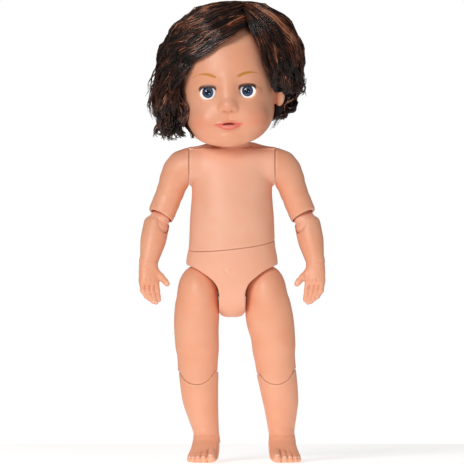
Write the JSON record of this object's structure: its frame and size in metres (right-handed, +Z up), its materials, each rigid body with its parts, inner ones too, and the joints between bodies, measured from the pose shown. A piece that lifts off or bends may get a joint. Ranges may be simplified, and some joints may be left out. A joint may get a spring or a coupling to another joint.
{
  "type": "jointed play doll",
  "caption": "Standing toddler play doll with vinyl head and limbs, wavy rooted hair, sleeping eyes, and joints at neck, waist, shoulders, elbows, hips and knees.",
  "frame": {"origin": "on the floor under the middle of the outer box, doll standing", "axes": "+Z up along the doll, -Y the way it faces, +X to its own left"},
  "size_m": [0.1738, 0.1206, 0.4308],
  "materials": {
    "vinyl_skin": "satin",
    "hard_skin": "satin",
    "hair": "satin",
    "eye_white": "gloss",
    "iris": "gloss",
    "lens": "polished",
    "inner_plastic": "matte",
    "steel": "satin"
  },
  "bodies": {
    "pelvis": {"pelvis_front": "hard_skin", "pelvis_back": "hard_skin", "waist_spool": "inner_plastic", "hip_axle": "steel"},
    "torso": {"torso_front": "hard_skin", "torso_back": "hard_skin", "neck_spool": "inner_plastic", "left_shoulder_spool": "inner_plastic", "right_shoulder_spool": "inner_plastic"},
    "head": {"head_shell": "vinyl_skin", "hair_crown": "hair", "hair_curls_left": "hair", "hair_curls_right": "hair", "hair_curls_back": "hair", "left_eye_cup": "inner_plastic", "right_eye_cup": "inner_plastic"},
    "left_eye": {"left_eyeball": "eye_white", "left_iris": "iris", "left_eye_lens": "lens", "left_eye_weight": "steel"},
    "right_eye": {"right_eyeball": "eye_white", "right_iris": "iris", "right_eye_lens": "lens", "right_eye_weight": "steel"},
    "left_upper_arm": {"left_upper_arm": "vinyl_skin"},
    "right_upper_arm": {"right_upper_arm": "vinyl_skin"},
    "left_elbow": {"left_elbow_knuckle": "hard_skin"},
    "right_elbow": {"right_elbow_knuckle": "hard_skin"},
    "left_forearm": {"left_forearm": "vinyl_skin", "left_elbow_pin": "steel"},
    "right_forearm": {"right_forearm": "vinyl_skin", "right_elbow_pin": "steel"},
    "left_thigh": {"left_thigh": "vinyl_skin", "left_knee_pin": "steel"},
    "right_thigh": {"right_thigh": "vinyl_skin", "right_knee_pin": "steel"},
    "left_shin": {"left_shin": "vinyl_skin", "left_knee_hinge": "inner_plastic"},
    "right_shin": {"right_shin": "vinyl_skin", "right_knee_hinge": "inner_plastic"}
  },
  "joints": [
    {"name": "waist_turn", "type": "hinge", "parent": "pelvis", "child": "torso", "pos_m": [0, -0.01035, 0.203], "axis": [-0.1084, -0.1564, 0.9817], "range_deg": [-40, 40]},
    {"name": "neck_turn", "type": "hinge", "parent": "torso", "child": "head", "pos_m": [0, -0.01035, 0.298], "axis": [-0.0436, 0, 0.999], "range_deg": [-60, 60]},
    {"name": "left_eye_roll", "type": "hinge", "parent": "head", "child": "left_eye", "pos_m": [0.0149, -0.04006, 0.34569], "axis": [0.9977, -0.0523, 0.0436], "range_deg": [0, 70]},
    {"name": "right_eye_roll", "type": "hinge", "parent": "head", "child": "right_eye", "pos_m": [-0.02201, -0.03812, 0.34408], "axis": [0.9977, -0.0523, 0.0436], "range_deg": [0, 70]},
    {"name": "left_shoulder_swing", "type": "hinge", "parent": "torso", "child": "left_upper_arm", "pos_m": [0.0403, -0.01035, 0.276], "axis": [1, 0, 0], "range_deg": [-105, 50]},
    {"name": "right_shoulder_swing", "type": "hinge", "parent": "torso", "child": "right_upper_arm", "pos_m": [-0.0403, -0.01035, 0.276], "axis": [1, 0, 0], "range_deg": [-105, 50]},
    {"name": "left_elbow_turn", "type": "hinge", "parent": "left_upper_arm", "child": "left_elbow", "pos_m": [0.0706, -0.01035, 0.22134], "axis": [-0.4848, 0, 0.8746], "range_deg": [-30, 60]},
    {"name": "right_elbow_turn", "type": "hinge", "parent": "right_upper_arm", "child": "right_elbow", "pos_m": [-0.0706, -0.01035, 0.22134], "axis": [0.4848, 0, 0.8746], "range_deg": [-60, 30]},
    {"name": "left_elbow_bend", "type": "hinge", "parent": "left_elbow", "child": "left_forearm", "pos_m": [0.0706, -0.01035, 0.22134], "axis": [0.6184, -0.7071, 0.3428], "range_deg": [-45, 20]},
    {"name": "right_elbow_bend", "type": "hinge", "parent": "right_elbow", "child": "right_forearm", "pos_m": [-0.0706, -0.01035, 0.22134], "axis": [0.6184, 0.7071, -0.3428], "range_deg": [-45, 20]},
    {"name": "left_hip_swing", "type": "hinge", "parent": "pelvis", "child": "left_thigh", "pos_m": [0.032, -0.01035, 0.158], "axis": [1, 0, 0], "range_deg": [-80, 20]},
    {"name": "right_hip_swing", "type": "hinge", "parent": "pelvis", "child": "right_thigh", "pos_m": [-0.032, -0.01035, 0.158], "axis": [1, 0, 0], "range_deg": [-80, 20]},
    {"name": "left_knee_bend", "type": "hinge", "parent": "left_thigh", "child": "left_shin", "pos_m": [0.041, -0.01035, 0.089], "axis": [0.9916, 0, 0.1293], "range_deg": [0, 68]},
    {"name": "right_knee_bend", "type": "hinge", "parent": "right_thigh", "child": "right_shin", "pos_m": [-0.032, -0.01035, 0.089], "axis": [1, 0, 0], "range_deg": [0, 68]}
  ]
}
